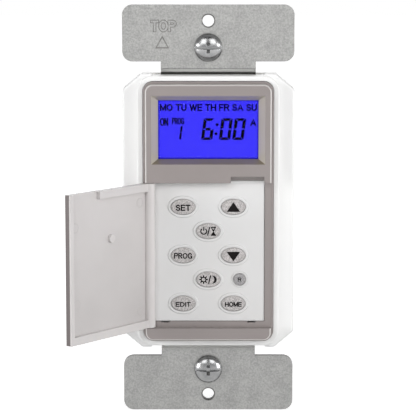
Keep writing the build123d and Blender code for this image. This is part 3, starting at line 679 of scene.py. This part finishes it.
slash_half = 1.1 * mm
x, z = key_middle["power_key"]
switch = x - 1.15 * mm
switch_radius = 0.75 * mm
opening = radians(35)
bar_foot = 0.1 * mm
bar_top = 1.1 * mm
glass = x + 1.3 * mm
cap_half = 0.65 * mm
cap_up = 1.0 * mm
wall_half = 0.5 * mm
wall_up = 0.95 * mm
wall_line = 0.8 * line
symbol = [
    key_line(circle_points(switch, z, switch_radius, 24, pi / 2 + opening, 5 * pi / 2 - opening)),
    key_line([(switch, z + bar_foot), (switch, z + bar_top)]),
    key_line([(x - 0.2 * mm, z - slash_half), (x + 0.35 * mm, z + slash_half)]),
    key_line([(glass - cap_half, z + cap_up), (glass + cap_half, z + cap_up)]),
    key_line([(glass - cap_half, z - cap_up), (glass + cap_half, z - cap_up)]),
    key_spot(triangle(glass, z - 0.42 * mm, 1.1 * mm, 0.9 * mm)),
    key_line([(glass, z), (glass - wall_half, z + wall_up)], wall_line),
    key_line([(glass, z), (glass + wall_half, z + wall_up)], wall_line),
    key_spot(triangle(glass, z + 0.25 * mm, 0.5 * mm, -0.45 * mm)),
]
print_on_key("power_key", join("power_key_legend", symbol))

x, z = key_middle["sun_key"]
sun = x - 1.2 * mm
sun_radius = 0.72 * mm
sun_hole = 0.44 * mm
ray_start = 0.68 * mm
ray_end = 1.12 * mm
ray_line = 1.1 * line
ray_count = 8
moon_radius = 1.05 * mm
hollow_radius = 1.18 * mm
sun_disc = [circle_points(sun, z, radius, 24) for radius in (sun_radius, sun_hole)]
symbol = [
    ring_shape("sun_disc", *sun_disc, key_front, legend_depth),
    key_line([(x + 0.1 * mm, z - slash_half), (x + 0.6 * mm, z + slash_half)]),
]
for step in range(ray_count):
    angle = step * 2 * pi / ray_count
    ray = [(sun + reach * cos(angle), z + reach * sin(angle)) for reach in (ray_start, ray_end)]
    symbol.append(key_line(ray, ray_line))
moon = circle_points(x + 1.1 * mm, z, moon_radius, 20, radians(-105), radians(105))
hollow = circle_points(x + 0.35 * mm, z, hollow_radius, 20, radians(-60), radians(60))
count = len(moon)
crescent = mesh_piece(
    "crescent",
    [(px, key_front, pz) for px, pz in (*moon, *hollow)],
    [[i, i + 1, count + i + 1, count + i] for i in range(count - 1)],
)
symbol.append(thicken(crescent, legend_depth))
print_on_key("sun_key", join("sun_key_legend", symbol))


# Feet of the rings and webs of the keys: each moulded ring slopes out to its panel, and round
# each key a pale narrow lip of the same soft rubber closes the gap inside the ring.
web_front = -6.02 * mm
web_depth = 0.1 * mm
web_inner = 0.06 * mm
web_outer = 0.11 * mm
flange_reach = 0.6 * mm
foot_reach = 0.22 * mm
key_ring_reach = 0.7 * mm
reset_ring_reach = 0.45 * mm
ring_front = -6.2 * mm
panel_front = -6.0 * mm
round_steps = 48


def oval_round(key, growth):
    """Points round a key's cap, at a distance from it."""
    low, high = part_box(key)
    x, z = key_middle[key]
    across = (high.x - low.x) / 2 - flange_reach + growth
    up = (high.z - low.z) / 2 - flange_reach + growth
    angles = [step * 2 * pi / round_steps for step in range(round_steps)]
    return [(x + across * cos(angle), z + up * sin(angle)) for angle in angles]


feet = []
for name in key_names:
    ring_reach = reset_ring_reach if name == "reset_key" else key_ring_reach
    loops = []
    for growth, y in ((0.0, ring_front), (foot_reach, panel_front), (0.0, panel_front)):
        loops += [(x, y, z) for x, z in oval_round(name, ring_reach + growth)]
    faces = []
    for near, far in ((0, round_steps), (round_steps, 2 * round_steps), (2 * round_steps, 0)):
        for i in range(round_steps):
            after = (i + 1) % round_steps
            faces.append([near + i, near + after, far + after, far + i])
    feet.append(mesh_piece("foot", loops, faces))
ring_feet = join("key_ring_feet", feet)
face_outwards(ring_feet)
bpy.ops.object.shade_smooth_by_angle(angle=radians(40))
dress(ring_feet, panel_in_shade)
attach(ring_feet, "switch_body")

web_rubber = rubber("key_web", painted(200, 199, 198), painted(212, 211, 210))
for name in key_names:
    outlines = [oval_round(name, growth) for growth in (web_outer, -web_inner)]
    web = ring_shape(name + "_web", *outlines, web_front + web_depth, web_depth)
    dress(web, web_rubber)
    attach(web, name)


# Display: a clear plastic pane, clipped in behind the bezel, over a blue glass that is lit from behind.
# Near the edges of the bezel's window the glow is darkened, as painted shade from the window's walls.
glass_front = -5.4 * mm
segment_depth = 0.04 * mm
pane_gap = 0.06 * mm
pane_edge = 0.15 * mm
shade_inside = 0.5 * mm
shade_outside = 0.2 * mm


def lit_blue():
    finish, tree, surface, place, _ = start_finish("lcd_glass", 0.05 * mm)
    x, _, z = axes(tree, place)

    def window_shade(value, middle, half):
        away = reckon(tree, "ABSOLUTE", reckon(tree, "SUBTRACT", value, middle))
        return span(tree, away, 1.0, 0.0, half - shade_inside, half + shade_outside)

    # Painted shade: the glow is darkened near the edges of the bezel's window.
    lit = every(
        tree, window_shade(x, 0.0, aperture_width / 2), window_shade(z, display_z, aperture_height / 2)
    )
    glow = blend_colours(tree, lit, painted(4, 2, 80), painted(50, 42, 254))
    tree.links.new(glow, surface.inputs["Emission Color"])
    surface.inputs["Emission Strength"].default_value = 1.0
    surface.inputs["Base Color"].default_value = painted(10, 8, 60)
    surface.inputs["Specular IOR Level"].default_value = 0.2
    surface.inputs["Roughness"].default_value = 0.15
    return finish


def clear_pane():
    finish, tree, surface, place, _ = start_finish("display_window", 0.1 * mm)
    surface.inputs["Alpha"].default_value = 0.04
    surface.inputs["Base Color"].default_value = painted(24, 25, 40)
    tree.links.new(span(tree, noise(tree, place, 40), 0.02, 0.05), surface.inputs["Roughness"])
    return finish


dress(nodes["lcd_glass"], lit_blue())
pane_low, pane_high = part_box("display_window")
pane_back = glass_front - pane_gap
bpy.ops.object.select_all(action="DESELECT")
bpy.ops.mesh.primitive_cube_add(size=1, location=(0, (pane_low.y + pane_back) / 2, display_z))
pane = bpy.context.object
pane.name = "display_pane"
pane.scale = (pane_high.x - pane_low.x, pane_back - pane_low.y, pane_high.z - pane_low.z)
settle(pane)
bpy.ops.object.mode_set(mode="EDIT")
bpy.ops.mesh.select_all(action="SELECT")
bpy.ops.mesh.bevel(offset=pane_edge, segments=2)
bpy.ops.object.mode_set(mode="OBJECT")
dress(pane, clear_pane())
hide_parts("display_window")
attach(pane, "switch_body")


# Reading of the display: dark crystal in the glass that shows four seven-segment digits that
# lean right, two dots, the weekdays over them and three small words beside them.
digit_slant = 0.13
segment_gap = 0.05 * mm
tip_share = 0.35
waist_share = 0.3
digit_z = 21.25 * mm
clock_size = (2.85 * mm, 5.5 * mm, 0.78 * mm, 0.66 * mm)
program_size = (1.5 * mm, 3.6 * mm, 0.5 * mm, 0.2 * mm)
dots_x = 2.1 * mm
dots_up = 1.15 * mm
dot_radius = 0.36 * mm


def digit(name, lit, x, z, width, height, upright, level_bar):
    """Seven-segment digit, leaning right, from the letters of its lit segments."""
    half_width = width / 2
    half_height = height / 2
    rows = {"a": half_height - level_bar / 2, "g": 0.0, "d": level_bar / 2 - half_height}
    bars = []
    for letter in lit:
        if letter in rows:
            level = rows[letter]
            half = level_bar / 2
            tip = half_width - upright * tip_share
            inner = half_width - upright - segment_gap
            low, high = {"a": (inner, tip), "g": (inner, inner), "d": (tip, inner)}[letter]
            outline = [
                (-high, level + half),
                (high, level + half),
                (low, level - half),
                (-low, level - half),
            ]
        else:
            side = 1 if letter in "bc" else -1
            half = 1 if letter in "bf" else -1
            outer = side * half_width
            inner = side * (half_width - upright)
            outline = [
                (outer, half * (half_height - segment_gap)),
                (inner, half * (half_height - level_bar - segment_gap)),
                (inner, half * (level_bar * waist_share + segment_gap)),
                (outer, half * segment_gap),
            ]
        slanted = [(x + px + digit_slant * pz, z + pz) for px, pz in outline]
        bars.append(flat_shape(name, slanted, glass_front, segment_depth))
    return bars


segments = []
segments += digit("digit", "acdefg", -0.07 * mm, digit_z, *clock_size)
segments += digit("digit", "abcdef", 4.44 * mm, digit_z, *clock_size)
segments += digit("digit", "abcdef", 7.83 * mm, digit_z, *clock_size)
segments += digit("digit", "bc", -7.45 * mm, 20.35 * mm, *program_size)
for up in (dots_up, -dots_up):
    dot = circle_points(dots_x + digit_slant * up, digit_z + up, dot_radius, 12)
    segments.append(flat_shape("dot", dot, glass_front, segment_depth))
for name, words, middle, height, width, weight in (
    ("days", "MO TU WE TH FR SA SU", (0.03 * mm, 26.75 * mm), 1.75 * mm, 24.5 * mm, 0.34 * mm),
    ("on", "ON", (-11.2 * mm, 23.1 * mm), 2.0 * mm, 2.1 * mm, 0.32 * mm),
    ("prog", "PROG", (-7.65 * mm, 23.3 * mm), 1.65 * mm, 3.1 * mm, 0.27 * mm),
    ("half", "A", (11.38 * mm, 22.97 * mm), 1.85 * mm, 1.5 * mm, 0.42 * mm),
):
    segments.append(lettering(name, words, middle, height, glass_front, segment_depth, width, weight))
reading = join("display_segments", segments)
dress(reading, ink("segment_ink", 0, 0, 6, 0.0))
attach(reading, "switch_body")


# Captive box screws: plated steel, a domed head with a slot and a cross, a bare neck in the
# retainer, and a rolled thread that starts behind the ear.
box_screw_z = 41.67 * mm
head_radius = 3.6 * mm
head_height = 2.1 * mm
head_rim = 0.35 * mm
head_gap = 0.01 * mm
neck_radius = 1.45 * mm
core_radius = 1.4 * mm
thread_radius = 1.75 * mm
thread_pitch = 0.794 * mm
thread_turns = 30
thread_start = 0.02 * mm
thread_sink = 0.03 * mm
tip_slope = 0.7
screw_tip = 24.2 * mm
core_short = 0.3 * mm
overlap = 0.1 * mm
hair = 0.001 * mm
slot_width = 0.75 * mm
slot_depth = 1.2 * mm
cross_length = 3.2 * mm
cross_width = 0.85 * mm
cross_depth = 1.0 * mm
cross_above = 0.05 * mm
cross_taper = 0.3


def plated_steel():
    finish, tree, surface, place, relief = start_finish("screw_steel", 0.08 * mm)
    clouds = noise(tree, place, 700, 4.0)
    share = span(tree, clouds, 0.0, 1.0)
    colour = blend_colours(tree, share, painted(140, 141, 142), painted(158, 158, 158))
    tree.links.new(colour, surface.inputs["Base Color"])
    surface.inputs["Metallic"].default_value = 1.0
    tree.links.new(span(tree, clouds, 0.16, 0.28), surface.inputs["Roughness"])
    roughen(tree, place, relief, 3000, 3.0, 0.15, 0.01 * mm)
    return finish


def bar_along_y(name, radius, front, back, z):
    """A round bar along Y, as a solid."""
    bpy.ops.object.select_all(action="DESELECT")
    bpy.ops.mesh.primitive_cylinder_add(
        vertices=32,
        radius=radius,
        depth=back - front,
        location=(0, (front + back) / 2, z),
        rotation=(pi / 2, 0, 0),
    )
    piece = bpy.context.object
    piece.name = name
    settle(piece)
    return piece


def cutter(width, depth, height, front, z, tip_share=1.0):
    """A block to cut with, that narrows across X towards its back."""
    bpy.ops.object.select_all(action="DESELECT")
    bpy.ops.mesh.primitive_cube_add(size=1, location=(0, front + depth / 2, z))
    piece = bpy.context.object
    piece.scale = (width, depth, height)
    settle(piece)
    for v in piece.data.vertices:
        if v.co.y > front + depth / 2:
            v.co.x *= tip_share
    return piece


def cut_away(piece, tool):
    """Cut the tool's shape out of a piece and remove the tool."""
    only(piece)
    cut = piece.modifiers.new("cut", "BOOLEAN")
    cut.operation = "DIFFERENCE"
    cut.solver = "EXACT"
    cut.object = tool
    bpy.ops.object.modifier_apply(modifier=cut.name)
    bpy.data.objects.remove(tool)


def domed_head(front, back, z):
    """Half a ball, pressed to the head's height over a short straight rim."""
    bpy.ops.object.select_all(action="DESELECT")
    bpy.ops.mesh.primitive_uv_sphere_add(
        segments=64, ring_count=28, radius=head_radius, rotation=(pi / 2, 0, 0)
    )
    piece = bpy.context.object
    piece.name = "head"
    settle(piece)
    bpy.ops.object.mode_set(mode="EDIT")
    bpy.ops.mesh.select_all(action="SELECT")
    bpy.ops.mesh.bisect(plane_co=(0, hair, 0), plane_no=(0, 1, 0), clear_outer=True, use_fill=True)
    bpy.ops.mesh.select_all(action="DESELECT")
    bpy.ops.object.mode_set(mode="OBJECT")
    tall = back - front - head_rim
    for v in piece.data.vertices:
        reach = min((v.co.x**2 + v.co.z**2) ** 0.5 / head_radius, 1.0)
        v.co.y = back if v.co.y > 0 else back - head_rim - tall * (1 - reach**2) ** 0.5
        v.co.z += z
    return piece


def screw_head(z):
    """The head with its slot and its cross. The second bar of the cross is the first, turned."""
    front = ear_front - head_height
    head = domed_head(front, ear_front - head_gap, z)
    cut_away(head, cutter(3 * head_radius, slot_depth + mm, slot_width, front - mm, z))
    cross = (cross_length, cross_depth, cross_width, front - cross_above)
    cut_away(head, cutter(*cross, z, cross_taper))
    upright = cutter(*cross, 0, cross_taper)
    for v in upright.data.vertices:
        v.co = Vector((v.co.z, v.co.y, v.co.x + z))
    face_outwards(upright)
    cut_away(head, upright)
    return head


def screw_thread(z):
    """A ridge wound round the core, which fades into it towards the tip."""
    root = core_radius - thread_sink
    profile = [
        (root, thread_start, 0),
        (thread_radius, thread_start + thread_pitch * 0.45, 0),
        (thread_radius, thread_start + thread_pitch * 0.55, 0),
        (root, thread_start + thread_pitch, 0),
    ]
    thread = mesh_piece("thread", profile, [], [(0, 1), (1, 2), (2, 3)])
    only(thread)
    wind = thread.modifiers.new("wind", "SCREW")
    wind.axis = "Y"
    wind.screw_offset = thread_pitch
    wind.iterations = thread_turns - 1
    wind.steps = 28
    wind.render_steps = 28
    wind.use_merge_vertices = True
    wind.merge_threshold = hair
    bpy.ops.object.modifier_apply(modifier=wind.name)
    for v in thread.data.vertices:
        reach = (v.co.x**2 + v.co.z**2) ** 0.5
        limit = min(thread_radius, core_radius + max(screw_tip - v.co.y, 0) * tip_slope)
        if reach > limit:
            v.co.x *= limit / reach
            v.co.z *= limit / reach
        v.co.y = min(v.co.y, screw_tip)
    thread.location = (0, 0, z)
    settle(thread)
    face_outwards(thread)
    return thread


def box_screw(name, z):
    """One captive box screw, head at the front."""
    head = screw_head(z)
    neck = bar_along_y("neck", neck_radius, ear_front - overlap, 0.0, z)
    core = bar_along_y("core", core_radius, -overlap, screw_tip - core_short, z)
    screw = join(name, [head, neck, core, screw_thread(z)])
    only(screw)
    bpy.ops.object.shade_smooth_by_angle(angle=radians(32))
    return screw


bright_steel = plated_steel()
dress(nodes["corner_screws"], bright_steel)
for body, side in (("upper_screw", 1), ("lower_screw", -1)):
    screw = box_screw(body + "_detailed", side * box_screw_z)
    dress(screw, bright_steel)
    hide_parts("upper_mounting_screw" if side > 0 else "lower_mounting_screw")
    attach(screw, body)


# Pieces inside and behind: green boards with black, blue and metal components, the display's
# holder and light, the plungers, and the retainers of the box screws, which show in the ears'
# slots. The rest shows only through the lead exits.
def solder_mask():
    finish, tree, surface, place, _ = start_finish("circuit_board", 0.05 * mm)
    tracks = tree.nodes.new("ShaderNodeTexBrick")
    tracks.inputs["Scale"].default_value = 500
    tracks.inputs["Mortar Size"].default_value = 0.03
    tracks.inputs["Color1"].default_value = painted(28, 92, 54)
    tracks.inputs["Color2"].default_value = painted(32, 102, 60)
    tracks.inputs["Mortar"].default_value = painted(52, 128, 76)
    turn = tree.nodes.new("ShaderNodeMapping")
    turn.inputs["Rotation"].default_value = (pi / 2, 0, 0)
    tree.links.new(place, turn.inputs["Vector"])
    tree.links.new(turn.outputs["Vector"], tracks.inputs["Vector"])
    tree.links.new(tracks.outputs["Color"], surface.inputs["Base Color"])
    surface.inputs["Roughness"].default_value = 0.3
    surface.inputs["Coat Weight"].default_value = 0.4
    return finish


board = solder_mask()
for name in ("control_board", "power_board"):
    dress(nodes[name], board)
black = moulded_plastic("black_moulding", painted(30, 30, 31), painted(38, 38, 39), 0.45, 3000, 0.01 * mm)
for name in (
    "lcd_holder",
    "microcontroller",
    "link_socket",
    "link_header",
    "rectifier_diodes",
    "tact_switches",
):
    dress(nodes[name], black)
for name, dark, pale, roughness in (
    ("lcd_backlight", (225, 230, 240), (235, 240, 248), 0.3),
    ("lcd_contact_strips", (205, 140, 150), (216, 152, 160), 0.6),
    ("relay", (34, 62, 130), (40, 70, 142), 0.3),
    ("film_capacitor", (205, 160, 50), (214, 172, 62), 0.32),
    ("reservoir_capacitor", (28, 32, 58), (36, 40, 68), 0.28),
    ("surge_varistor", (36, 76, 150), (44, 84, 160), 0.3),
    ("fuse", (205, 212, 212), (220, 226, 226), 0.12),
    ("screw_retainers", (212, 206, 186), (222, 216, 198), 0.6),
):
    dress(nodes[name], moulded_plastic(name, painted(*dark), painted(*pale), roughness, 3000, 0.005 * mm))
for name in ("clock_crystal", "backup_battery"):
    dress(nodes[name], bright_steel)
plunger_white = moulded_plastic(
    "plunger", painted(222, 222, 220), painted(232, 232, 230), 0.4, 4000, 0.005 * mm
)
for name in key_names:
    dress(nodes[name + "_plunger"], plunger_white)


# Floor and surroundings: a white sheet under a white room. The camera sees both as white, while
# the object gets a soft light from the sides, and darker bands that its metal mirrors.
floor_gap = 0.05 * mm
paper_grey = 0.6
glow_start = 0.74
glow_end = 1.0
glow_near = 0.05
glow_far = 0.32


def ray_kinds(tree):
    """Whether a ray comes straight from the camera or through glass, and whether off a shiny face."""
    rays = tree.nodes.new("ShaderNodeLightPath")
    seen = reckon(tree, "MAXIMUM", rays.outputs["Is Camera Ray"], rays.outputs["Is Transmission Ray"])
    return seen, rays.outputs["Is Glossy Ray"]


def white_paper():
    paper = bpy.data.materials.new("paper")
    paper.use_nodes = True
    tree = paper.node_tree
    tree.nodes.clear()
    output = tree.nodes.new("ShaderNodeOutputMaterial")
    plain = tree.nodes.new("ShaderNodeBsdfDiffuse")
    plain.inputs["Color"].default_value = (paper_grey, paper_grey, paper_grey, 1)
    glow = tree.nodes.new("ShaderNodeEmission")
    seen, mirrored = ray_kinds(tree)
    away = tree.nodes.new("ShaderNodeVectorMath")
    away.operation = "LENGTH"
    tree.links.new(tree.nodes.new("ShaderNodeTexCoord").outputs["Object"], away.inputs[0])
    spread = span(tree, away.outputs["Value"], glow_start, glow_end, glow_near, glow_far)
    shown = reckon(tree, "MAXIMUM", seen, mirrored)
    tree.links.new(reckon(tree, "MULTIPLY", shown, spread), glow.inputs["Strength"])
    both = tree.nodes.new("ShaderNodeAddShader")
    tree.links.new(plain.outputs["BSDF"], both.inputs[0])
    tree.links.new(glow.outputs["Emission"], both.inputs[1])
    tree.links.new(both.outputs["Shader"], output.inputs["Surface"])
    return paper


def studio():
    world = bpy.data.worlds.new("studio")
    world.use_nodes = True
    tree = world.node_tree
    tree.nodes.clear()
    output = tree.nodes.new("ShaderNodeOutputWorld")
    sky = tree.nodes.new("ShaderNodeBackground")
    sky.inputs["Color"].default_value = (1, 1, 1, 1)
    seen, mirrored = ray_kinds(tree)
    x, _, z = axes(tree, tree.nodes.new("ShaderNodeTexCoord").outputs["Generated"])
    plain_light = span(tree, z, 0.45, 0.05, 0.0, 0.5)
    near_floor = span(tree, z, 1.0, 0.06, 0.1, 0.55)
    overhead = span(tree, z, 0.0, 0.5, 0.74, 0.92)
    at_sides = span(tree, reckon(tree, "ABSOLUTE", x), 0.0, 0.45, 0.25, 0.5)
    bands = reckon(tree, "MAXIMUM", near_floor, reckon(tree, "MAXIMUM", overhead, at_sides))
    light = tree.nodes.new("ShaderNodeMix")
    light.data_type = "FLOAT"
    tree.links.new(mirrored, light.inputs["Factor"])
    tree.links.new(plain_light, light.inputs["A"])
    tree.links.new(bands, light.inputs["B"])
    tree.links.new(reckon(tree, "MAXIMUM", seen, light.outputs["Result"]), sky.inputs["Strength"])
    tree.links.new(sky.outputs["Background"], output.inputs["Surface"])
    return world


bpy.ops.object.select_all(action="DESELECT")
bpy.ops.mesh.primitive_plane_add(size=4.0, location=(0, 0.6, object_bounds()[0][2] - floor_gap))
floor = bpy.context.object
floor.name = "floor"
settle(floor)
dress(floor, white_paper())
bpy.context.scene.world = studio()


# Light and camera: broad soft lamps low on both sides, smaller ones above in front, and one
# behind. The camera stands a little above the switch and looks at its middle.
def soft_lamp(name, place, width, height, power):
    """A soft lamp that looks at the object's middle."""
    lamp = bpy.data.lights.new(name, "AREA")
    lamp.shape = "RECTANGLE"
    lamp.size = width
    lamp.size_y = height
    lamp.energy = power
    holder = bpy.data.objects.new(name, lamp)
    bpy.context.scene.collection.objects.link(holder)
    holder.location = place
    holder.rotation_euler = (-Vector(place)).to_track_quat("-Z", "Y").to_euler()


soft_lamp("left_lamp", (-0.56, -0.32, 0.07), 0.3, 0.24, 1.88)
soft_lamp("right_lamp", (0.56, -0.32, 0.07), 0.3, 0.24, 1.88)
soft_lamp("upper_left_lamp", (-0.192, -0.431, 0.283), 0.25, 0.25, 0.68)
soft_lamp("upper_right_lamp", (0.192, -0.431, 0.283), 0.25, 0.25, 0.68)
soft_lamp("back_lamp", (0.0, 0.8, 0.5), 0.6, 0.6, 3.0)

elevation = radians(7.9)
distance = 0.5
aim = Vector((-0.07 * mm, 0, 0.33 * mm))
camera_data = bpy.data.cameras.new("camera")
camera_data.sensor_width = 36
camera_data.lens = 168
camera_data.clip_start = 0.01
camera = bpy.data.objects.new("camera", camera_data)
bpy.context.scene.collection.objects.link(camera)
camera.location = aim + Vector((0, -distance * cos(elevation), distance * sin(elevation)))
camera.rotation_euler = (pi / 2 - elevation, 0, 0)
bpy.context.scene.camera = camera
bpy.context.scene.view_settings.view_transform = "Standard"
